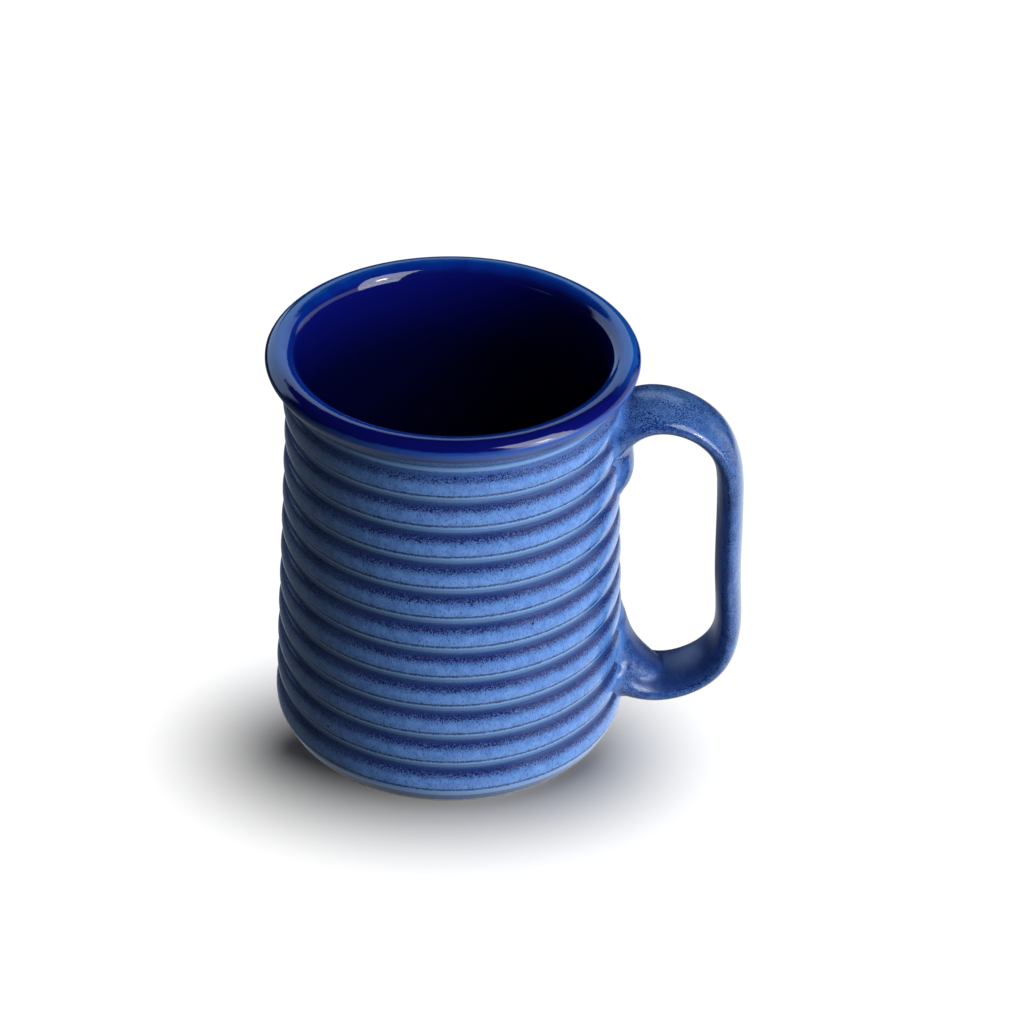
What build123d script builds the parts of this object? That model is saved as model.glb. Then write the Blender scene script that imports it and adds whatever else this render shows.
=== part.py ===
"""A wheel-thrown stoneware shaving mug with throwing ribs, a rolled lip and a pulled strap handle.

Row frame, in millimetres: +Z up, origin at the centre of the foot on the table, handle towards +X.
The mug is built the way a potter builds it. The thrown cup, the strap handle and two pads of clay pressed
on at its roots are separate solids luted face to face, and the fired glaze lies on them as three coats.
"""

import os
from math import cos, pi

from build123d import *

# Overall size, measured over the glaze
HEIGHT = 106.6  # table to the top of the lip
RIM_RADIUS = 45.0  # widest circle of the rolled lip
HANDLE_REACH = 24.8  # rim circle to the middle of the strap at the grip

# Side of the cup: how far the rib crests lie inside the rim circle
BELLY_INSET = 0.8  # at the lowest groove
NECK_INSET = 4.3  # where the cup is narrowest
NECK_DROP = 22.6  # lip top down to the narrowest place
SHOULDER_INSET = 4.0  # at the groove under the lip
SHOULDER_DROP = 10.4  # lip top down to that groove

# Throwing ribs
RIB_PITCH = 8.5  # wanted spacing; the real one divides the ribbed band evenly
LOWEST_GROOVE = 11.7  # table to the lowest groove
GROOVE_DEPTH = 0.65  # hollow pressed by the rib tool
GROOVE_SHARE = 0.46  # share of a pitch taken by that hollow
CREST_ROUNDING = 0.45  # the crests bow outwards by this much between hollows
SAMPLES_PER_RIB = 10
HEEL_SAMPLES_SKIPPED = 4  # samples next to the heel left out, so that it turns in smoothly
SLOPE_STEP = 0.05  # height over which the side's slope is taken

# Rolled lip and inside
LIP_WIDEST_DROP = 2.4  # lip top down to the rim circle
LIP_TOP_INSET = 3.0  # rim circle in to the top of the lip
THROAT_INSET = 7.8  # rim circle in to the inside wall under the lip
THROAT_DROP = 15.0
UNDERCUT_INSET = 1.3  # where the liner glaze ends under the rim circle
UNDERCUT_DROP = 5.2
UNDERCUT_SLOPE = (0.55, 1.0)
INSIDE_FOOT_INSET = 5.6  # rim circle in to the inside wall near the floor
FLOOR_FILLET = 9.0  # inside corner between floor and wall
FLOOR = 6.6  # table to the glazed floor

# Foot
FOOT_INSET = 3.4  # rim circle in to the edge of the bare flat foot
FOOT_EDGE = 0.5  # rounding of that edge
FOOT_BARE_HEIGHT = 1.2  # table to where the glaze begins
HEEL_INSET = 1.0  # where the side turns in to the foot
HEEL_HEIGHT = 4.2

# Glaze
GLAZE_ON_CREST = 0.3  # glaze runs thin on the crests
GLAZE_IN_GROOVE = 0.5  # and pools in the grooves
LINER_GLAZE = 0.35
HANDLE_GLAZE = 0.35

# Strap handle, on the bare clay
STRAP_WIDTH = 18.2  # across the strap at the grip
STRAP_THICKNESS = 5.8
ROOT_WIDENING = 3.2  # the roots are this much wider than the grip
UPPER_ROOT_THICKNESS = 11.0
LOWER_ROOT_THICKNESS = 12.6
UPPER_FLARE = 26.0  # length over which the strap swells to its upper root
LOWER_FLARE = 20.0
ROOT_SINK = 2.6  # drawn this far inside the rib crests, then cut to the cup
CROWN_DROP = 17.4  # lip top down to the strap's middle at its highest
CROWN_SHARE = 0.48  # of the reach from wall to grip
UPPER_ROOT_DROP = 6.3  # crown down to the middle of the upper root
UPPER_BEND_SHARE = 0.86
UPPER_BEND_DROP = 8.6  # crown down to the middle of the bend
UPPER_GRIP_SHARE = 0.958
UPPER_GRIP_DROP = 21.0  # crown down to where the strap runs straight
HEEL_RISE = 9.6  # table to the strap's middle at its lowest
HEEL_SHARE = 0.52
LOWER_ROOT_RISE = 5.6  # heel up to the middle of the lower root
LOWER_BEND_SHARE = 0.925
LOWER_BEND_RISE = 7.6
GRIP_SHARE = 0.36  # height of the grip's outermost point between heel and crown
STRAP_SECTIONS = 17

# Pads of clay pressed on at the roots
PAD_EMBED = 3.0  # drawn this far inside the rib crests, then cut to the cup
PAD_END = -1.4  # how far a pad's thin end stands out, so that it dies away inside the wall
TAIL_TOP_DROP = 22.0  # lip top down to the tail's upper end, inside the strap
TAIL_LENGTH = 18.5
TAIL_PROUD = 3.1
TAIL_WIDTH_SHARE = 0.824  # of the strap's width
COIL_BASE_RISE = 12.4  # table to the coil's lower end, inside the strap
COIL_LENGTH = 20.0
COIL_PROUD = 10.5
COIL_WIDTH_SHARE = 0.934  # of the strap's width


# ---- Sizes that follow from the ones above
belly_radius = RIM_RADIUS - BELLY_INSET
neck_radius = RIM_RADIUS - NECK_INSET
shoulder_radius = RIM_RADIUS - SHOULDER_INSET
neck_z = HEIGHT - NECK_DROP
shoulder_z = HEIGHT - SHOULDER_DROP
undercut_z = HEIGHT - UNDERCUT_DROP
rib_count = max(1, round((shoulder_z - LOWEST_GROOVE) / RIB_PITCH))
pitch = (shoulder_z - LOWEST_GROOVE) / rib_count
crown_z = HEIGHT - CROWN_DROP


def between(low, high, share):
    """The value a share of the way from low to high."""
    return low + (high - low) * share


def crest_radius(z):
    """Radius of the glazed rib crests, tapering to the neck and widening again under the lip."""
    if z < neck_z:
        return between(belly_radius, neck_radius, (z - LOWEST_GROOVE) / (neck_z - LOWEST_GROOVE))
    return between(neck_radius, shoulder_radius, (z - neck_z) / (shoulder_z - neck_z))


def groove_fraction(z):
    """1 in the bottom of a groove, 0 on the crests between the hollows."""
    offset = (z - LOWEST_GROOVE) / pitch
    from_groove = abs(offset - round(offset)) / (GROOVE_SHARE / 2)
    return cos(from_groove * pi / 2) ** 2 if from_groove < 1 else 0.0


def side_radius(z, glazed):
    """Radius of the ribbed side at height z, on the glaze or on the clay under it."""
    groove = groove_fraction(z)
    rounding = CREST_ROUNDING * (1 + cos(2 * pi * (z - LOWEST_GROOVE) / pitch)) / 2
    radius = crest_radius(z) - rounding - GROOVE_DEPTH * groove
    return radius if glazed else radius - between(GLAZE_ON_CREST, GLAZE_IN_GROOVE, groove)


def side_slope(z, glazed):
    """Direction of the ribbed side going up, at height z."""
    change = side_radius(z + SLOPE_STEP, glazed) - side_radius(z - SLOPE_STEP, glazed)
    return (change, 0, 2 * SLOPE_STEP)


def side_points(low, high, glazed):
    """Points up the ribbed side between two heights."""
    heights = [between(low, high, i / SAMPLES_PER_RIB) for i in range(SAMPLES_PER_RIB + 1)]
    return [(side_radius(z, glazed), 0, z) for z in heights]


# ---- Outlines of the cup, drawn in the XZ plane
def outside_edge(glazed):
    """From the bare foot up over the ribs to the end of the liner glaze under the rim."""
    coat = 0.0 if glazed else GLAZE_ON_CREST
    foot = RIM_RADIUS - FOOT_INSET + GLAZE_ON_CREST - coat
    heel = (RIM_RADIUS - HEEL_INSET - coat, 0, HEEL_HEIGHT)
    glaze_end = (between(foot, heel[0], FOOT_BARE_HEIGHT / HEEL_HEIGHT), 0, FOOT_BARE_HEIGHT)
    undercut = (RIM_RADIUS - UNDERCUT_INSET - (0.0 if glazed else LINER_GLAZE), 0, undercut_z)
    grooves = [LOWEST_GROOVE + i * pitch for i in range(rib_count + 1)]

    edges = [Line(glaze_end, heel)]
    lowest_crest = side_points(HEEL_HEIGHT, grooves[0], glazed)[HEEL_SAMPLES_SKIPPED:]
    turn_in = (heel[0] - foot, 0, HEEL_HEIGHT)
    edges.append(Spline(heel, *lowest_crest, tangents=[turn_in, side_slope(grooves[0], glazed)]))
    for low, high in zip(grooves, grooves[1:]):
        rib = side_points(low, high, glazed)
        edges.append(Spline(*rib, tangents=[side_slope(low, glazed), side_slope(high, glazed)]))
    lip_slope = (UNDERCUT_SLOPE[0], 0, UNDERCUT_SLOPE[1])
    edges.append(Spline(edges[-1] @ 1, undercut, tangents=[side_slope(grooves[-1], glazed), lip_slope]))
    return edges


def inside_edge(glazed):
    """From the end of the liner glaze over the lip and down the inside to the middle of the floor."""
    coat = 0.0 if glazed else LINER_GLAZE
    undercut = (RIM_RADIUS - UNDERCUT_INSET - coat, 0, undercut_z)
    widest = (RIM_RADIUS - coat, 0, HEIGHT - LIP_WIDEST_DROP)
    top = (RIM_RADIUS - LIP_TOP_INSET, 0, HEIGHT - coat)
    throat = (RIM_RADIUS - THROAT_INSET + coat, 0, HEIGHT - THROAT_DROP)
    wall_foot = (RIM_RADIUS - INSIDE_FOOT_INSET + coat, 0, FLOOR + FLOOR_FILLET)
    floor_edge = (RIM_RADIUS - INSIDE_FOOT_INSET - FLOOR_FILLET, 0, FLOOR - coat)
    down_wall = Vector(*wall_foot) - Vector(*throat)
    lip = Spline(
        undercut, widest, top, throat,
        tangents=[(UNDERCUT_SLOPE[0], 0, UNDERCUT_SLOPE[1]), (0, 0, 1), (-1, 0, 0), down_wall.normalized()],
    )
    wall = Line(throat, wall_foot)
    corner = TangentArc(wall_foot, floor_edge, tangent=down_wall)
    floor = Line(floor_edge, (0, 0, FLOOR - coat))
    return [lip, wall, corner, floor]


def turned(edges):
    """Solid of revolution about the cup's axis from a closed outline, its seam opposite the handle."""
    return Rot(0, 0, 180) * revolve(make_face(edges), Axis.Z)


def thrown_cup():
    """The clay cup with its ribs, lip and flat foot."""
    outside = outside_edge(glazed=False)
    inside = inside_edge(glazed=False)
    foot = RIM_RADIUS - FOOT_INSET
    underside = FilletPolyline((0, 0, 0), (foot, 0, 0), outside[0] @ 0, radius=FOOT_EDGE)
    return turned(outside + inside + list(underside.edges()) + [Line(inside[-1] @ 1, (0, 0, 0))])


def cup_block():
    """The clay cup without its hollow, for cutting whatever is luted to its side."""
    outside = outside_edge(glazed=False)
    start = outside[0] @ 0
    end = outside[-1] @ 1
    closing = Polyline(end, (0, 0, end.Z), (0, 0, start.Z), start)
    return turned(outside + list(closing.edges()))


def glaze_coat(edge_maker):
    """Thin ring of glaze between the glazed and the bare version of one outline."""
    over = edge_maker(glazed=True)
    under = edge_maker(glazed=False)
    ends = [Line(over[0] @ 0, under[0] @ 0), Line(over[-1] @ 1, under[-1] @ 1)]
    return turned(over + under + ends)


# ---- Handle
def strap_path():
    """Middle line of the strap, from inside the cup wall at the top round to the wall at the bottom."""
    grip_x = RIM_RADIUS + HANDLE_REACH
    upper_z = crown_z - UPPER_ROOT_DROP
    lower_z = HEEL_RISE + LOWER_ROOT_RISE
    upper_wall = crest_radius(upper_z)
    lower_wall = crest_radius(lower_z)
    points = [
        (upper_wall - ROOT_SINK, 0, upper_z),
        (between(upper_wall, grip_x, CROWN_SHARE), 0, crown_z),
        (between(upper_wall, grip_x, UPPER_BEND_SHARE), 0, crown_z - UPPER_BEND_DROP),
        (between(upper_wall, grip_x, UPPER_GRIP_SHARE), 0, crown_z - UPPER_GRIP_DROP),
        (grip_x, 0, between(HEEL_RISE, crown_z, GRIP_SHARE)),
        (between(lower_wall, grip_x, LOWER_BEND_SHARE), 0, HEEL_RISE + LOWER_BEND_RISE),
        (between(lower_wall, grip_x, HEEL_SHARE), 0, HEEL_RISE),
        (lower_wall - ROOT_SINK, 0, lower_z),
    ]
    return Spline(*points)


def strap(coat):
    """The pulled strap, swelling towards both roots; coat adds glaze all round."""
    path = strap_path()
    sections = []
    for i in range(STRAP_SECTIONS):
        share = i / (STRAP_SECTIONS - 1)
        upper = max(0.0, 1 - share * path.length / UPPER_FLARE) ** 2
        lower = max(0.0, 1 - (1 - share) * path.length / LOWER_FLARE) ** 2
        width = STRAP_WIDTH + ROOT_WIDENING * (upper + lower)
        thickness = (
            STRAP_THICKNESS
            + (UPPER_ROOT_THICKNESS - STRAP_THICKNESS) * upper
            + (LOWER_ROOT_THICKNESS - STRAP_THICKNESS) * lower
        )
        place = Plane(origin=path @ share, x_dir=(0, 1, 0), z_dir=path % share)
        sections.append(place * Ellipse(width / 2 + coat, thickness / 2 + coat))
    return loft(sections)


def pressed_pad(base_z, top_z, outline, width, coat):
    """Clay pressed against the wall, lofted through level ovals.

    The outline gives (share of the height, how far the pad stands out, share of the width) per oval.
    """
    sections = []
    for height_share, proud, width_share in outline:
        z = between(base_z, top_z, height_share)
        oval = Ellipse(PAD_EMBED + proud + coat, width * width_share / 2 + coat)
        sections.append(Pos(crest_radius(z) - PAD_EMBED, 0, z) * oval)
    return loft(sections)


def upper_tail(coat):
    """The strap's end drawn down and thumbed onto the wall under the upper root."""
    top = HEIGHT - TAIL_TOP_DROP
    outline = [
        (0.0, PAD_END, 0.35),
        (0.12, 0.3 * TAIL_PROUD, 0.7),
        (0.3, 0.85 * TAIL_PROUD, 0.9),
        (0.6, TAIL_PROUD, 1.0),
        (1.0, 1.3 * TAIL_PROUD, 1.0),
    ]
    width = TAIL_WIDTH_SHARE * STRAP_WIDTH
    return pressed_pad(top - TAIL_LENGTH - coat, top, outline, width, coat)


def lower_coil(coat):
    """The coil of clay smoothed into the corner above the lower root."""
    outline = [
        (0.0, COIL_PROUD, 1.0),
        (0.3, 0.45 * COIL_PROUD, 0.96),
        (0.55, 0.2 * COIL_PROUD, 0.86),
        (0.8, 0.07 * COIL_PROUD, 0.7),
        (1.0, PAD_END, 0.35),
    ]
    width = COIL_WIDTH_SHARE * STRAP_WIDTH
    top = COIL_BASE_RISE + COIL_LENGTH + coat
    return pressed_pad(COIL_BASE_RISE, top, outline, width, coat)


def build():
    """All the pieces, each cut to the ones it lies against."""
    block = cup_block()
    strap_clay = strap(coat=0) - block
    tail = upper_tail(coat=0) - block - strap_clay
    coil = lower_coil(coat=0) - block - strap_clay
    joined = strap_clay + tail + coil
    grown = (strap(HANDLE_GLAZE) + upper_tail(HANDLE_GLAZE) + lower_coil(HANDLE_GLAZE)) - block
    return {
        "cup_body": thrown_cup(),
        "handle_strap": strap_clay,
        "upper_joint_tail": tail,
        "lower_joint_coil": coil,
        "liner_glaze": glaze_coat(inside_edge),
        "outer_glaze": glaze_coat(outside_edge) - grown,
        "handle_glaze": grown - joined,
    }


os.makedirs("parts", exist_ok=True)
for name, shape in build().items():
    shape.label = name
    export_step(shape, f"parts/{name}.step")
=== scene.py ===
import math

import bmesh
import bpy
import numpy as np
from mathutils import Matrix, Vector, noise
from mathutils.bvhtree import BVHTree


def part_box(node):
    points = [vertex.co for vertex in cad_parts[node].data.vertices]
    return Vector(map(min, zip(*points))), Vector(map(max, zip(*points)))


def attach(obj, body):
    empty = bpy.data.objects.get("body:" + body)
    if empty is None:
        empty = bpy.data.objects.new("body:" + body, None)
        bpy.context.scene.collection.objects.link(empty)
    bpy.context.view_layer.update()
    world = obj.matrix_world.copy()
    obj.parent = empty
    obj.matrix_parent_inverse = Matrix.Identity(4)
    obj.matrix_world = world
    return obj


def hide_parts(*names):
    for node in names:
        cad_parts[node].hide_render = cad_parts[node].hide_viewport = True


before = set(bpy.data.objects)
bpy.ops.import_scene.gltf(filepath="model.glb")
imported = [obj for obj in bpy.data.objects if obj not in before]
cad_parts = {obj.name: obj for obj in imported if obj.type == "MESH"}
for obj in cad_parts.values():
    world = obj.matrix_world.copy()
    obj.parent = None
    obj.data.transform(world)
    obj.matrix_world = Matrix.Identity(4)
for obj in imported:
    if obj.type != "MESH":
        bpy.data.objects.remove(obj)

MM = 0.001

# Camera, looking along +Y from above
CAMERA_ELEVATION = 34.38  # degrees above the floor
CAMERA_DISTANCE = 747.0 * MM
CAMERA_AIM = Vector((15.05, 0.0, 58.65)) * MM
CAMERA_ROLL = 1.415  # degrees
LENS = 105.97
SENSOR = 36.0

# Throwing ribs, read with the frame's heights
RIB_COUNT = 10
LOWEST_GROOVE = 11.7 * MM
SHOULDER_DROP = 10.4 * MM  # lip top down to the groove under the lip

# Rays that read the cup's section off the frame
RAY_INSET = 0.01 * MM  # how far inside the coat's ends the first and last rays pass
LIP_CORE_IN = 3.6 * MM  # middle of the rolled lip, in from the rim
LIP_CORE_DOWN = 4.6 * MM  # and down from the lip's top
LIP_START = -14  # degrees round the lip, 0 straight out and 90 straight up
LIP_END = 236
SECTION_RAYS = 160  # round the lip, and again from there to the middle of the floor
NEXT_RAY = 0.01  # radians from the lip's last ray down to the first one inside

# Meshes
AROUND = 400  # columns round the cup
SIDE_ROWS = 240
LINER_ROWS = 210
SKIN = 0.02 * MM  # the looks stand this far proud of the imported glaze
WOBBLE = 0.10 * MM  # how far the thrown wall strays from round
WOBBLE_SCALE = 1.3
RIB_SWAY = 0.16 * MM  # how far the ribs stray from level
SWAY_SCALE = 0.9
WANDER_FADE = 6 * MM  # height over which both fade out at the foot, and the sway under the lip
WOBBLE_SEED = Vector((4.1, 1.7, 9.3))

# Glaze over the handle and its joints
HANDLE_VOXEL = 0.42 * MM
HANDLE_SMOOTHING = 12
SMOOTHING_FACTOR = 0.5
JOINT_FILLET = 2.0 * MM
JOINT_SMOOTHING = 8
JOINT_EDGE = 0.02  # nearness to the cup, 0 to 1, over which the coat is smoothed
LOOP_CENTRE = Vector((56.0, 0.0, 52.0)) * MM  # middle of the finger opening

# Lights on the mug: distances and sizes in metres, powers in watts
LIT_POINT = Vector((0, 0, 0.06))
LIGHT_COLOUR = (0.88, 0.93, 1.0)
KEY_DIRECTION = (0.72, -0.48, 0.50)
KEY_DISTANCE = 0.75
KEY_SIZE = (0.44, 0.80)
KEY_POWER = 5.8
MATTE_SIZE = (0.42, 0.60)
MATTE_POWER = 5.6
CORE_DISTANCE = 0.74
CORE_SIZE = (0.10, 0.10)
CORE_POWER = 0.8
SIDE_DIRECTION = (0.80, -0.60, 0.16)
SIDE_POWER = 4.0
BACK_DIRECTION = (-0.30, 0.95, 0.20)
BACK_POWER = 4.5
FILL_DISTANCE = 0.9
FILL_SIZE = (0.6, 0.5)

# Surroundings, with the flag that shades the floor
WHITE = (1.0, 1.0, 1.0, 1)
WORLD_FILL = 0.10
FLOOR_TINT = (0.78, 0.88, 1.0, 1)  # the floor and the wall behind, as the glaze mirrors them
WALL_TINT = (0.45, 0.66, 1.0, 1)
FLAG_PLACE = Vector((-4.0, -22.0, 125.0)) * MM
FLAG_HALF_WIDTH = 56.0 * MM
FLAG_HALF_DEPTH = 31.0 * MM
FLOOR_SIZE = 8.0
FLOOR_GREY = (0.5, 0.5, 0.5, 1)
FLOOR_LIGHT_ANGLE = math.radians(18.2)
FLOOR_BRIGHTNESS = 6.2

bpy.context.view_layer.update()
glaze_low, glaze_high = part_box("outer_glaze")
liner_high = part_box("liner_glaze")[1]
RIM_RADIUS = liner_high.x
LIP_TOP = liner_high.z
shoulder_z = LIP_TOP - SHOULDER_DROP
pitch = (shoulder_z - LOWEST_GROOVE) / RIB_COUNT


# ---- Reading shapes off the frame
def tree_of(name):
    """A ray-casting tree over the mesh of a CAD node."""
    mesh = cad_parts[name].data
    points = [v.co.copy() for v in mesh.vertices]
    faces = [list(p.vertices) for p in mesh.polygons]
    return BVHTree.FromPolygons(points, faces)


def lengths_along(line):
    """Distance along a line from its first point to each of its points."""
    steps = np.hypot(*np.diff(line, axis=0).T)
    return np.concatenate([[0], np.cumsum(steps)])


def resample(points, count):
    """The same line with its points evenly spaced."""
    line = np.array(points)
    along = lengths_along(line)
    wanted = np.linspace(0, along[-1], count)
    return np.stack([np.interp(wanted, along, column) for column in line.T], axis=1)


def side_profile():
    """(radius, height) up the glazed side, seen from the side opposite the handle."""
    tree = tree_of("outer_glaze")
    points = []
    for z in np.linspace(glaze_low.z + RAY_INSET, glaze_high.z - RAY_INSET, SIDE_ROWS):
        hit = tree.ray_cast(Vector((-2 * RIM_RADIUS, 0, z)), Vector((1, 0, 0)))[0]
        points.append((-hit.x, z))
    return np.array(points)


def liner_profile():
    """(radius, height) from under the rim over the lip and down the inside to the middle of the floor."""
    tree = tree_of("liner_glaze")
    lip_middle = Vector((-(RIM_RADIUS - LIP_CORE_IN), 0, LIP_TOP - LIP_CORE_DOWN))
    points = []
    for angle in np.radians(np.linspace(LIP_START, LIP_END, SECTION_RAYS)):
        out = Vector((-math.cos(angle), 0, math.sin(angle)))
        hit = tree.ray_cast(lip_middle + out * 0.5 * RIM_RADIUS, -out)[0]
        points.append((-hit.x, hit.z))
    eye = Vector((0, 0, LIP_TOP / 2))
    lowest = points[-1][1]
    start = math.atan2(lowest - eye.z, points[-1][0])
    for angle in np.linspace(start - NEXT_RAY, -math.pi / 2, SECTION_RAYS):
        hit = tree.ray_cast(eye, Vector((-math.cos(angle), 0, math.sin(angle))))[0]
        points.append((-hit.x, hit.z))
    points[-1] = (0.0, points[-1][1])
    return resample(points, LINER_ROWS)


def wander(angle, height, scale):
    """Slow noise on the cup, the same for every piece that meets there."""
    place = Vector((math.cos(angle), math.sin(angle), height / RIM_RADIUS)) * scale
    return noise.noise(place + WOBBLE_SEED)


# ---- Meshes
def new_object(name, mesh, node):
    """A finished mesh as a piece of the mug in place of its CAD node."""
    obj = bpy.data.objects.new(name, mesh)
    bpy.context.scene.collection.objects.link(obj)
    for polygon in mesh.polygons:
        polygon.use_smooth = True
    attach(obj, "root")
    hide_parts(node)
    return obj


def ring(radius, height, angles):
    """One turn of the cup, straying a little from round and level as thrown clay does."""
    ease = min(1.0, max(0.0, (height - glaze_low.z) / WANDER_FADE))
    near_lip = min(1.0, max(0.0, (shoulder_z - height) / WANDER_FADE))
    points = []
    for angle in angles:
        stray = radius + SKIN + ease * WOBBLE * wander(angle, height, WOBBLE_SCALE)
        sway = ease * near_lip * RIB_SWAY * wander(angle, height, SWAY_SCALE)
        rise = height + sway * (radius / RIM_RADIUS)
        points.append((stray * math.cos(angle), stray * math.sin(angle), rise))
    return points


def lathe(name, profile, closed_end):
    """A surface turned from a profile, whose last point is the middle of the floor with closed_end."""
    angles = np.linspace(0, 2 * math.pi, AROUND, endpoint=False)
    rings = len(profile) - 1 if closed_end else len(profile)
    vertices = []
    for radius, height in profile[:rings]:
        vertices.extend(ring(radius, height, angles))
    faces = []
    for row in range(rings - 1):
        low = row * AROUND
        high = low + AROUND
        for i in range(AROUND):
            j = (i + 1) % AROUND
            faces.append((low + i, low + j, high + j, high + i))
    if closed_end:
        last = (rings - 1) * AROUND
        centre = len(vertices)
        vertices.append((0.0, 0.0, profile[-1][1]))
        faces.extend((last + i, last + (i + 1) % AROUND, centre) for i in range(AROUND))
    mesh = bpy.data.meshes.new(name)
    mesh.from_pydata(vertices, [], faces)
    mesh.update()
    return mesh


def add_value(mesh, name, values):
    """A number per vertex for a material to read."""
    layer = mesh.attributes.new(name, "FLOAT", "POINT")
    layer.data.foreach_set("value", np.asarray(values, dtype=np.float32))


def side_mesh():
    """The ribbed outside, with each vertex's place in its rib."""
    profile = side_profile()
    mesh = lathe("outer_glaze_skin", profile, closed_end=False)
    place = (profile[:, 1] - LOWEST_GROOVE) / pitch
    add_value(mesh, "rib", np.repeat(place, AROUND))
    return mesh


def liner_mesh():
    """The cobalt inside and lip, with each vertex's distance inwards from the lip's top, in millimetres."""
    profile = liner_profile()
    mesh = lathe("liner_glaze_skin", profile, closed_end=True)
    top = int(np.argmax(profile[:, 1]))
    along = lengths_along(profile)
    from_lip = (along - along[top]) / MM
    add_value(mesh, "from_lip", np.append(np.repeat(from_lip[:-1], AROUND), from_lip[-1]))
    return mesh


def cup_radius_at(heights):
    """Radius of the glazed side at some heights."""
    profile = side_profile()
    return np.interp(heights, profile[:, 1], profile[:, 0])


def soften(mesh, chosen):
    """Smooths the chosen vertices of a mesh in place."""
    shape = bmesh.new()
    shape.from_mesh(mesh)
    shape.verts.ensure_lookup_table()
    picked = [shape.verts[i] for i in np.nonzero(chosen)[0]]
    all_axes = {"use_axis_x": True, "use_axis_y": True, "use_axis_z": True}
    for _ in range(JOINT_SMOOTHING):
        bmesh.ops.smooth_vert(shape, verts=picked, factor=SMOOTHING_FACTOR, **all_axes)
    shape.to_mesh(mesh)
    shape.free()


def handle_union():
    """Strap, tail, coil and their coat melted into one surface."""
    joined = bmesh.new()
    for name in ("handle_strap", "upper_joint_tail", "lower_joint_coil", "handle_glaze"):
        joined.from_mesh(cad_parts[name].data)
    mesh = bpy.data.meshes.new("handle_union")
    joined.to_mesh(mesh)
    joined.free()
    scratch = bpy.data.objects.new("handle_union", mesh)
    bpy.context.scene.collection.objects.link(scratch)
    remesh = scratch.modifiers.new("remesh", "REMESH")
    remesh.mode = "VOXEL"
    remesh.voxel_size = HANDLE_VOXEL
    smooth = scratch.modifiers.new("smooth", "SMOOTH")
    smooth.factor = SMOOTHING_FACTOR
    smooth.iterations = HANDLE_SMOOTHING
    melted = scratch.evaluated_get(bpy.context.evaluated_depsgraph_get())
    shaped = bpy.data.meshes.new_from_object(melted)
    bpy.data.objects.remove(scratch)
    return shaped


def vertex_vectors(mesh, key):
    """One vector of each vertex of a mesh, as rows."""
    values = np.empty(len(mesh.vertices) * 3)
    mesh.vertices.foreach_get(key, values)
    return values.reshape(-1, 3)


def handle_mesh():
    """The handle under one flowing coat, with a concave fillet where it meets the cup."""
    shaped = handle_union()
    shaped.name = "handle_glaze_skin"
    points = vertex_vectors(shaped, "co")
    normals = vertex_vectors(shaped, "normal")
    radius = np.hypot(points[:, 0], points[:, 1])
    near = np.clip(1 - (radius - cup_radius_at(points[:, 2])) / JOINT_FILLET, 0, 1)
    outward = (normals[:, 0] * points[:, 0] + normals[:, 1] * points[:, 1]) / radius
    sideways = np.clip(1 - outward, 0, 1)
    flare = JOINT_FILLET * (1 - np.sqrt(1 - near**2)) * sideways
    points += normals * flare[:, None]
    shaped.vertices.foreach_set("co", points.ravel())
    shaped.update()
    soften(shaped, near > JOINT_EDGE)
    add_value(shaped, "joint", near)

    # 1 where the surface faces the middle of the finger opening, -1 where it faces away
    toward = np.array([LOOP_CENTRE.x, 0, LOOP_CENTRE.z]) - points
    toward /= np.linalg.norm(toward, axis=1)[:, None]
    add_value(shaped, "inner", (normals * toward).sum(axis=1))
    return shaped


# ---- Materials
class Nodes:
    """Short ways to add and wire the nodes of a tree."""

    def __init__(self, tree):
        self.tree = tree

    def node(self, kind, **settings):
        made = self.tree.nodes.new(kind)
        for key, value in settings.items():
            setattr(made, key, value)
        return made

    def wire(self, source, target):
        self.tree.links.new(source, target)

    def put(self, socket, value):
        """Sets a socket to a number or colour, or wires another socket into it."""
        if isinstance(value, bpy.types.NodeSocket):
            self.wire(value, socket)
        else:
            socket.default_value = value

    def axes(self, space):
        """The X, Y and Z of a texture space."""
        made = self.node("ShaderNodeSeparateXYZ")
        self.wire(self.node("ShaderNodeTexCoord").outputs[space], made.inputs["Vector"])
        return made.outputs

    def math(self, operation, a, b=0.0):
        made = self.node("ShaderNodeMath", operation=operation)
        self.put(made.inputs[0], a)
        self.put(made.inputs[1], b)
        return made.outputs[0]

    def times(self, a, b):
        return self.math("MULTIPLY", a, b)

    def ramp(self, value, low, high, to_low=0.0, to_high=1.0):
        """to_low below low, to_high above high and a smooth step between; low may be above high."""
        made = self.node("ShaderNodeMapRange", interpolation_type="SMOOTHSTEP")
        self.put(made.inputs["Value"], value)
        made.inputs["From Min"].default_value = low
        made.inputs["From Max"].default_value = high
        made.inputs["To Min"].default_value = to_low
        made.inputs["To Max"].default_value = to_high
        return made.outputs["Result"]


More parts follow.
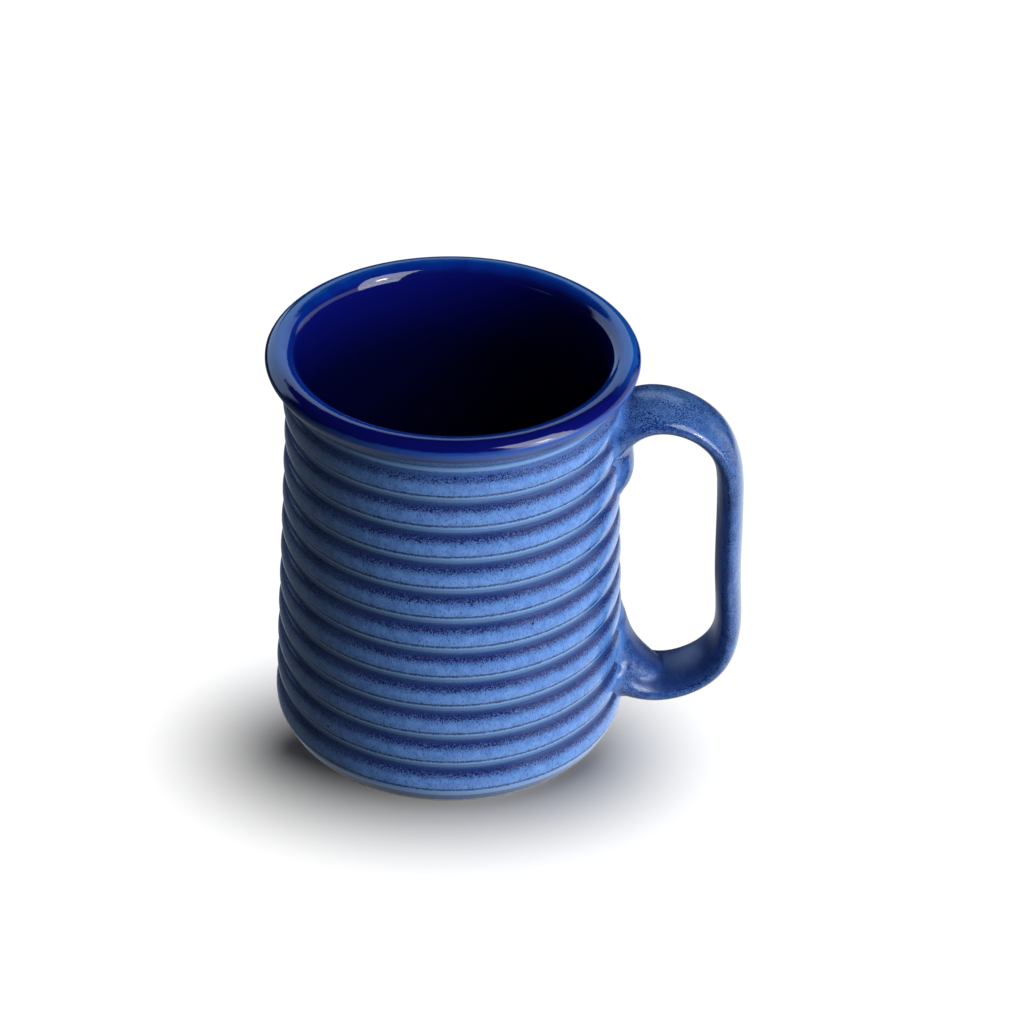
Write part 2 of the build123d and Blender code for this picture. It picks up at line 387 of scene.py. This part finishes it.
class Material(Nodes):
    """A new material, its shader and the patterns that it is painted with."""

    def __init__(self, name):
        self.material = bpy.data.materials.new(name)
        self.material.use_nodes = True
        super().__init__(self.material.node_tree)
        self.shader = self.tree.nodes["Principled BSDF"]

    def place(self, stretch=(1.0, 1.0, 1.0)):
        """Object coordinates in millimetres, stretched for streaks."""
        coordinates = self.node("ShaderNodeTexCoord")
        mapping = self.node("ShaderNodeMapping")
        mapping.inputs["Scale"].default_value = [s / MM for s in stretch]
        self.wire(coordinates.outputs["Object"], mapping.inputs["Vector"])
        return mapping.outputs["Vector"]

    def noise(self, size, detail=2.0, roughness=0.5, stretch=(1.0, 1.0, 1.0)):
        """Noise from 0 to 1 whose lumps are about size millimetres across."""
        made = self.node("ShaderNodeTexNoise")
        made.inputs["Scale"].default_value = 1.0 / size
        made.inputs["Detail"].default_value = detail
        made.inputs["Roughness"].default_value = roughness
        self.wire(self.place(stretch), made.inputs["Vector"])
        return made.outputs["Fac"]

    def specks(self, size):
        """Distance from scattered points, in cells about size millimetres across."""
        made = self.node("ShaderNodeTexVoronoi")
        made.inputs["Scale"].default_value = 1.0 / size
        self.wire(self.place(), made.inputs["Vector"])
        return made.outputs["Distance"]

    def stray(self, pattern, reach):
        """A pattern of 0 to 1 as an amount either side of 0, reach from end to end."""
        return self.times(self.math("SUBTRACT", pattern, 0.5), reach)

    def blend(self, amount, a, b):
        """Colour a where amount is 0 and b where it is 1."""
        made = self.node("ShaderNodeMix", data_type="RGBA")
        self.put(made.inputs["Factor"], amount)
        self.put(made.inputs[6], a)
        self.put(made.inputs[7], b)
        return made.outputs[2]

    def between(self, amount, a, b):
        """Number a where amount is 0 and b where it is 1."""
        made = self.node("ShaderNodeMapRange")
        self.put(made.inputs["Value"], amount)
        made.inputs["To Min"].default_value = a
        made.inputs["To Max"].default_value = b
        return made.outputs["Result"]

    def value(self, name):
        """A mesh's own number, as add_value stored it."""
        return self.node("ShaderNodeAttribute", attribute_name=name).outputs["Fac"]

    def bump(self, height, depth):
        """Relief of a depth in millimetres."""
        made = self.node("ShaderNodeBump")
        made.inputs["Distance"].default_value = depth * MM
        self.wire(height, made.inputs["Height"])
        self.wire(made.outputs["Normal"], self.shader.inputs["Normal"])

    def set(self, **values):
        """Shader inputs by name, with _ for a space."""
        for name, value in values.items():
            self.put(self.shader.inputs[name.replace("_", " ")], value)


GLAZE_IOR = 1.55
SKY_BLUE = (0.135, 0.305, 0.69, 1)
MID_BLUE = (0.085, 0.208, 0.54, 1)
BAND_BLUE_AND_REFLECTION = (0.160, 0.335, 0.66, 1)  # glossy upper wall of each groove, partly its glaze blue and partly a painted reflection of the floor
GROOVE_NAVY = (0.019, 0.056, 0.20, 1)
PEPPER_PURPLE = (0.026, 0.040, 0.16, 1)
INK = (0.006, 0.013, 0.080, 1)
LINE_NAVY = (0.006, 0.028, 0.13, 1)
SHOULDER_GREY = (0.15, 0.26, 0.60, 1)
COBALT = (0.0025, 0.004, 0.105, 1)
COBALT_PAINTED_SHADE = (0.0012, 0.002, 0.035, 1)
COBALT_BRIGHT = (0.001, 0.030, 0.28, 1)
COBALT_PAINTED_REFLECTION = (0.006, 0.075, 0.34, 1)
UNDER_LIP = (0.006, 0.052, 0.30, 1)
HANDLE_BLUE = (0.060, 0.145, 0.37, 1)
HANDLE_DEEP = (0.028, 0.082, 0.27, 1)
HANDLE_NAVY_AND_SHADE = (0.006, 0.020, 0.11, 1)
HANDLE_PAINTED_LIGHT = (0.12, 0.235, 0.50, 1)
CLAY = (0.52, 0.52, 0.51, 1)
CLAY_DARK = (0.36, 0.35, 0.33, 1)
IRON = (0.10, 0.06, 0.04, 1)

# Places in a rib, 0 at the bottom of a groove and 1 at the next one up
BREAK = 0.295  # where the crest breaks to the groove under it, with a thin dark line
BREAK_BLUR = 0.015
RAGGED = 0.785  # middle of the peppered edge at the top of the crest
RAGGED_BLUR = 0.03
TOP_RIB = RIB_COUNT + BREAK
TOP_BLUR = 0.02

# Painted reflection: opposite the handle most of the grooves' navy is painted over with the crest's blue,
# for the pale grazing reflection that evens out the ribs on that side
SIDE_REFLECTION_START = -15.0 * MM  # towards the handle is +X
SIDE_REFLECTION_FULL = -32.0 * MM
SIDE_REFLECTION_COVER = 0.65

# Painted reflection: the lip's top is painted a paler cobalt on its far side
FAR_START = -22.0 * MM  # towards the far side is +Y
FAR_FULL = -2.0 * MM


def groove_colour(n, rib, phase, pepper, band):
    """A pale glossy band under the break, partly glaze and partly a painted reflection of the floor, then
    navy, then the purple of the ragged edge.
    """
    purple = n.times(n.ramp(phase, 0.50, 0.60), n.ramp(phase, 0.98, 0.86))
    colour = n.blend(purple, GROOVE_NAVY, PEPPER_PURPLE)
    top_grooves = n.times(n.ramp(rib, RIB_COUNT - 1.4, RIB_COUNT - 0.2), 0.35)
    colour = n.blend(top_grooves, colour, MID_BLUE)
    speck = n.times(n.ramp(pepper, 0.02, 0.06), n.ramp(phase, 0.98, 0.88))
    colour = n.blend(speck, colour, INK)
    return n.blend(band, colour, BAND_BLUE_AND_REFLECTION)


def crest_colour(n, rib, phase, pepper, grain):
    """Streaked blue, pinholed towards the ragged edge, and greyer and speckled under the lip."""
    cloud = n.ramp(n.noise(2.4, detail=4.0, roughness=0.6), 0.30, 0.72)
    colour = n.blend(cloud, SKY_BLUE, MID_BLUE)
    colour = n.blend(n.ramp(grain, 0.48, 0.80), colour, GROOVE_NAVY)
    colour = n.blend(n.times(n.ramp(phase, 0.55, 0.84), 0.55), colour, PEPPER_PURPLE)
    reach = n.math("ADD", n.times(n.ramp(phase, 0.50, 0.80), 0.20), 0.10)
    pinhole = n.math("LESS_THAN", n.specks(0.60), reach)
    colour = n.blend(n.times(pinhole, 0.7), colour, INK)
    spot = n.math("LESS_THAN", n.specks(11.0), 0.035)
    colour = n.blend(spot, colour, INK)
    shoulder = n.blend(n.ramp(pepper, 0.01, 0.06), SHOULDER_GREY, GROOVE_NAVY)
    return n.blend(n.ramp(rib, TOP_RIB - TOP_BLUR, TOP_RIB + TOP_BLUR), colour, shoulder)


def break_line(n, lower, pepper):
    """1 along the thin dark line where the crest breaks, weaker in patches."""
    ragged = n.math("ADD", lower, n.times(pepper, 0.06))
    from_break = n.math("ABSOLUTE", n.math("SUBTRACT", ragged, BREAK))
    strength = n.ramp(n.noise(1.6), 0.30, 0.55)
    return n.times(n.ramp(from_break, 0.050, 0.020), n.between(strength, 0.75, 1.0))


def mottled_glaze():
    """Opaque sky blue on the crests, breaking crisply below and peppering out to navy above."""
    n = Material("mottled_glaze")
    rib = n.value("rib")
    phase = n.math("FRACT", rib)
    pepper = n.math("SUBTRACT", n.noise(0.30, detail=1.5, roughness=0.6, stretch=(1.0, 1.0, 0.7)), 0.5)
    grain = n.noise(0.30, roughness=0.6, stretch=(1.0, 1.0, 0.35))
    drift = n.stray(n.noise(12.0), 0.08)
    upper = n.math("ADD", phase, n.math("ADD", n.times(pepper, 0.62), drift))
    lower = n.math("ADD", phase, n.times(pepper, 0.07))
    below_ragged = n.ramp(upper, RAGGED + RAGGED_BLUR, RAGGED - RAGGED_BLUR)
    above_break = n.ramp(lower, BREAK - BREAK_BLUR, BREAK + BREAK_BLUR)
    opaque = n.times(below_ragged, above_break)
    # painted reflection: away from the handle the crest's blue is painted over the grooves too
    side_reflection = n.times(n.ramp(n.axes("Object")["X"], SIDE_REFLECTION_START, SIDE_REFLECTION_FULL), SIDE_REFLECTION_COVER)
    opaque_and_reflection = n.math("MAXIMUM", opaque, side_reflection)

    # the pale band on each groove's upper wall: partly glaze, partly a painted reflection of the floor
    band = n.times(n.ramp(phase, 0.0, 0.10), n.ramp(phase, 0.55, 0.50))
    groove = groove_colour(n, rib, phase, pepper, band)
    crest = crest_colour(n, rib, phase, pepper, grain)
    colour = n.blend(opaque_and_reflection, groove, crest)
    colour = n.blend(break_line(n, lower, pepper), colour, LINE_NAVY)
    n.set(Base_Color=colour, IOR=GLAZE_IOR, Roughness=n.between(band, 0.26, 0.12))
    n.bump(n.math("ADD", n.times(opaque, 0.4), n.times(grain, 0.3)), 0.04)
    return n.material


def cobalt_glaze():
    """Deep glossy cobalt, brighter just inside the lip, with painted shade darkening it down inside the
    cup, a painted reflection in pale cobalt on the lip's far side, and navy under the rim.
    """
    n = Material("cobalt_glaze")
    from_lip = n.value("from_lip")
    cloud = n.noise(5.0, detail=3.0)
    shift = n.math("ADD", from_lip, n.stray(cloud, 2.0))
    thin = n.times(n.ramp(shift, 0.0, 1.2), n.ramp(shift, 4.6, 1.4))
    colour = n.blend(thin, COBALT, COBALT_BRIGHT)
    colour = n.blend(n.times(n.noise(0.5), 0.25), colour, COBALT)
    # painted shade: the cobalt darkens from 5 to 28 mm in from the lip's top, down into the cup
    colour = n.blend(n.ramp(from_lip, 5.0, 28.0), colour, COBALT_PAINTED_SHADE)

    # painted reflection: paler cobalt over the top of the lip on its far side
    far = n.ramp(n.axes("Object")["Y"], FAR_START, FAR_FULL)
    over_lip = n.times(n.ramp(shift, -3.4, -2.4), n.ramp(shift, 1.8, 0.4))
    colour = n.blend(n.times(over_lip, far), colour, COBALT_PAINTED_REFLECTION)

    streak = n.noise(0.6, stretch=(1.0, 1.0, 0.3))
    under = n.blend(n.ramp(streak, 0.45, 0.75), UNDER_LIP, GROOVE_NAVY)
    under = n.blend(n.ramp(from_lip, -5.4, -6.6), under, GROOVE_NAVY)
    edge = n.math("ADD", from_lip, n.stray(cloud, 0.8))
    colour = n.blend(n.ramp(edge, -3.5, -4.1), colour, under)
    roughness = n.between(n.ramp(from_lip, -3.2, -4.2), 0.055, 0.30)
    n.set(Base_Color=colour, IOR=GLAZE_IOR, Roughness=roughness)
    n.bump(n.noise(3.0), 0.03)
    return n.material


def handle_glaze():
    """Mid blue netted with navy specks, with painted shade in navy inside the loop, painted light making it
    paler on its outside, and a painted highlight in paler blue over the joints.
    """
    n = Material("handle_glaze_look")
    pepper = n.ramp(n.noise(0.36, detail=1.5, roughness=0.6), 0.48, 0.53)
    patch = n.ramp(n.noise(7.0), 0.35, 0.62)
    cloud = n.ramp(n.noise(2.2, detail=3.0), 0.35, 0.65)
    facing = n.value("inner")
    outer = n.ramp(facing, -0.80, -1.0)
    inner = n.ramp(facing, 0.25, 0.80)
    body = n.blend(cloud, HANDLE_BLUE, HANDLE_DEEP)
    # painted light: paler on the faces turned away from the finger opening
    body = n.blend(n.times(outer, 0.45), body, HANDLE_PAINTED_LIGHT)
    colour = n.blend(n.times(pepper, n.between(patch, 0.50, 1.0)), body, HANDLE_NAVY_AND_SHADE)
    # painted shade: navy on the faces inside the finger opening
    colour = n.blend(n.times(inner, 0.70), colour, HANDLE_NAVY_AND_SHADE)
    # painted highlight: paler blue over the joints with the cup, for the bright line along their fillets
    colour = n.blend(n.times(n.value("joint"), 0.75), colour, MID_BLUE)
    n.set(Base_Color=colour, IOR=GLAZE_IOR, Roughness=n.between(inner, 0.14, 0.40))
    n.bump(n.noise(0.6), 0.03)
    return n.material


def bare_clay():
    """Unglazed stoneware: pale grey, sandy and speckled with iron."""
    n = Material("stoneware_clay")
    sand = n.noise(0.45, detail=4.0, roughness=0.7)
    speck = n.math("LESS_THAN", n.specks(1.6), 0.13)
    colour = n.blend(n.ramp(sand, 0.35, 0.7), CLAY, CLAY_DARK)
    colour = n.blend(n.times(speck, 0.8), colour, IRON)
    n.set(Base_Color=colour, Roughness=n.between(sand, 0.70, 0.92))
    n.bump(sand, 0.12)
    return n.material


def give(obj, material):
    """Puts one material on an object in place of whatever it has."""
    obj.data.materials.clear()
    obj.data.materials.append(material)


def build_mug():
    """Every visible piece of the mug as a list, the ribbed outside first."""
    outside = new_object("outer_glaze_skin", side_mesh(), "outer_glaze")
    give(outside, mottled_glaze())
    inside = new_object("liner_glaze_skin", liner_mesh(), "liner_glaze")
    give(inside, cobalt_glaze())
    handle = new_object("handle_glaze_skin", handle_mesh(), "handle_glaze")
    give(handle, handle_glaze())
    clay = bare_clay()
    clay_names = ("cup_body", "handle_strap", "upper_joint_tail", "lower_joint_coil")
    bare = [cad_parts[name] for name in clay_names]
    for node in bare:
        node.material_slots[0].material = clay
    return [outside, inside, handle] + bare


# ---- Stage, light and camera
def aim(obj, place, target):
    """Puts an object at a place, its -Z axis towards a target."""
    obj.location = place
    obj.rotation_euler = (target - place).to_track_quat("-Z", "Y").to_euler()


def build_floor():
    """Plain pale floor, which the mug's reflections take from the world instead."""
    bpy.ops.mesh.primitive_plane_add(size=FLOOR_SIZE)
    floor = bpy.context.object
    floor.name = "studio_floor"
    n = Material("floor_white")
    n.set(Base_Color=FLOOR_GREY, Roughness=0.9, Specular_IOR_Level=0.0)
    floor.data.materials.append(n.material)
    floor.visible_glossy = False
    floor.visible_diffuse = False
    return floor


def build_flag():
    """An oval flag over the mug, unseen, that gives the floor its wide soft shadow."""
    bpy.ops.mesh.primitive_circle_add(vertices=64, radius=1.0, fill_type="NGON", location=FLAG_PLACE)
    flag = bpy.context.object
    flag.name = "studio_flag"
    flag.scale = (FLAG_HALF_WIDTH, FLAG_HALF_DEPTH, 1.0)
    flag.visible_camera = False
    flag.visible_glossy = False
    flag.visible_diffuse = False
    return flag


def link_light(light, lit, blockers):
    """Makes a light shine on some objects only and be shadowed by some objects only."""
    for kind, objects in (("receiver", lit), ("blocker", blockers)):
        group = bpy.data.collections.new(light.name + "_" + kind)
        for obj in objects:
            group.objects.link(obj)
        setattr(light.light_linking, kind + "_collection", group)


def area_light(name, direction, distance, size, power, glossy=True):
    """A soft rectangular light in some direction from the mug; glossy says if the glaze mirrors it."""
    data = bpy.data.lights.new(name, "AREA")
    data.shape = "RECTANGLE"
    data.size, data.size_y = size
    data.energy = power
    data.color = LIGHT_COLOUR
    light = bpy.data.objects.new(name, data)
    bpy.context.scene.collection.objects.link(light)
    aim(light, LIT_POINT + Vector(direction).normalized() * distance, LIT_POINT)
    light.visible_glossy = glossy
    return light


def build_lights(mug, floor, flag):
    """Softbox from the upper right, low fills beside and behind, and an even light on the floor.

    The ribbed outside takes its key without a mirror image, and the other pieces take theirs with one.
    """
    outside, rest = mug[:1], mug[1:]
    key = area_light("key_softbox", KEY_DIRECTION, KEY_DISTANCE, KEY_SIZE, KEY_POWER)
    matte = area_light("key_matte", KEY_DIRECTION, KEY_DISTANCE, MATTE_SIZE, MATTE_POWER, glossy=False)
    core = area_light("key_core", KEY_DIRECTION, CORE_DISTANCE, CORE_SIZE, CORE_POWER)
    side = area_light("side_fill", SIDE_DIRECTION, FILL_DISTANCE, FILL_SIZE, SIDE_POWER, glossy=False)
    back = area_light("back_fill", BACK_DIRECTION, FILL_DISTANCE, FILL_SIZE, BACK_POWER, glossy=False)
    for light, lit in ((key, rest), (core, rest), (matte, outside), (side, mug), (back, mug)):
        link_light(light, lit, mug)
    data = bpy.data.lights.new("floor_light", "SUN")
    data.energy = FLOOR_BRIGHTNESS
    data.angle = FLOOR_LIGHT_ANGLE
    floor_light = bpy.data.objects.new("floor_light", data)
    bpy.context.scene.collection.objects.link(floor_light)
    link_light(floor_light, [floor], [flag])


def mirrored_floor(n, x, z):
    """Brightness of a pale floor that darkens to the left, with a low wall on the right."""
    paper = n.math("MAXIMUM", n.ramp(x, -0.55, 0.55, 0.14, 1.3), n.ramp(z, -0.70, -0.92, 0.0, 0.42))
    floor = n.times(n.ramp(z, -0.22, -0.42), paper)
    wall_height = n.times(n.ramp(z, -0.35, -0.25), n.ramp(z, 0.36, 0.28))
    right_wall = n.times(n.ramp(x, 0.62, 0.72), wall_height)
    return n.math("ADD", n.math("MAXIMUM", floor, right_wall), 0.01)


def mirrored_wall(n, x, y, z):
    """Brightness of the backdrop: a wall on the left and a window high in the middle."""
    left_wall = n.times(n.ramp(x, -0.27, -0.33), n.ramp(z, -0.03, 0.02))
    window = n.times(n.ramp(x, 0.42, 0.36), n.ramp(z, 0.34, 0.40))
    wall = n.times(n.math("MAXIMUM", left_wall, window), n.ramp(z, 0.62, 0.58))
    return n.times(wall, n.ramp(y, 0.30, 0.45, 0.0, 1.6))


def glow(n, colour, strength):
    """A background of one colour."""
    made = n.node("ShaderNodeBackground")
    n.put(made.inputs["Color"], colour)
    n.put(made.inputs["Strength"], strength)
    return made.outputs["Background"]


def choose(n, ray, otherwise, shader):
    """One shader for a kind of ray and another for the rest."""
    mix = n.node("ShaderNodeMixShader")
    n.wire(n.node("ShaderNodeLightPath").outputs[ray], mix.inputs["Fac"])
    n.wire(otherwise, mix.inputs[1])
    n.wire(shader, mix.inputs[2])
    return mix.outputs["Shader"]


def build_world():
    """A floor and backdrop for the glaze to mirror, white for the camera and a faint fill for the rest."""
    world = bpy.data.worlds.new("studio")
    bpy.context.scene.world = world
    world.use_nodes = True
    world.node_tree.nodes.clear()
    n = Nodes(world.node_tree)
    x, y, z = n.axes("Generated")
    mirrored = n.node("ShaderNodeAddShader")
    n.wire(glow(n, FLOOR_TINT, mirrored_floor(n, x, z)), mirrored.inputs[0])
    n.wire(glow(n, WALL_TINT, mirrored_wall(n, x, y, z)), mirrored.inputs[1])
    mixed = choose(n, "Is Glossy Ray", glow(n, WHITE, WORLD_FILL), mirrored.outputs["Shader"])
    shown = choose(n, "Is Camera Ray", mixed, glow(n, WHITE, 1.0))
    n.wire(shown, n.node("ShaderNodeOutputWorld").inputs["Surface"])


def build_camera():
    """Camera above and in front of the mug, rolled a little."""
    data = bpy.data.cameras.new("camera")
    data.lens = LENS
    data.sensor_width = SENSOR
    camera = bpy.data.objects.new("camera", data)
    bpy.context.scene.collection.objects.link(camera)
    up_angle = math.radians(CAMERA_ELEVATION)
    back = Vector((0, -math.cos(up_angle), math.sin(up_angle)))
    right = Vector((1, 0, 0))
    up = back.cross(right)
    roll = math.radians(CAMERA_ROLL)
    rolled_right = right * math.cos(roll) + up * math.sin(roll)
    rolled_up = up * math.cos(roll) - right * math.sin(roll)
    turn = Matrix((rolled_right, rolled_up, back)).transposed().to_4x4()
    camera.matrix_world = Matrix.Translation(CAMERA_AIM + back * CAMERA_DISTANCE) @ turn
    bpy.context.scene.camera = camera


mug = build_mug()
build_lights(mug, build_floor(), build_flag())
build_world()
build_camera()
bpy.context.scene.view_settings.view_transform = "Standard"
